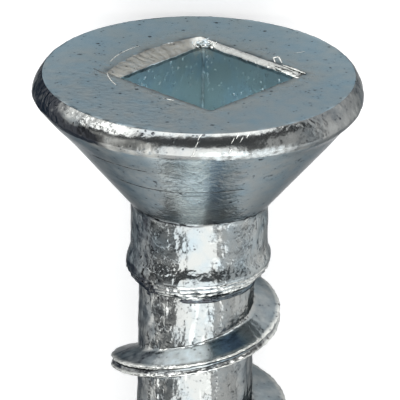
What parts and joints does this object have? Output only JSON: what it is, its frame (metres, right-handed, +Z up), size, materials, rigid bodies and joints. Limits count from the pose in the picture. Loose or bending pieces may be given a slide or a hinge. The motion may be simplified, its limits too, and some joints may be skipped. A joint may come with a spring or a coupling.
{
  "type": "flat head wood screw",
  "caption": "Zinc-plated flat head wood screw with a square drive recess, plain neck, coarse rolled thread and gimlet point, lying on its side.",
  "frame": {"origin": "middle of the screw's box on the floor it lies on", "axes": "+Y runs along the screw towards its head (the screw's own axis rises 4 degrees towards the head), +Z is up, +X is to the right when the head is away from the viewer"},
  "size_m": [0.0078, 0.0322, 0.0078],
  "materials": {
    "zinc_plate": "bright zinc plate with a faint blue tint, slightly dull and scuffed from handling"
  },
  "bodies": {
    "root": {"flat_head_wood_screw": "zinc_plate"}
  },
  "joints": []
}
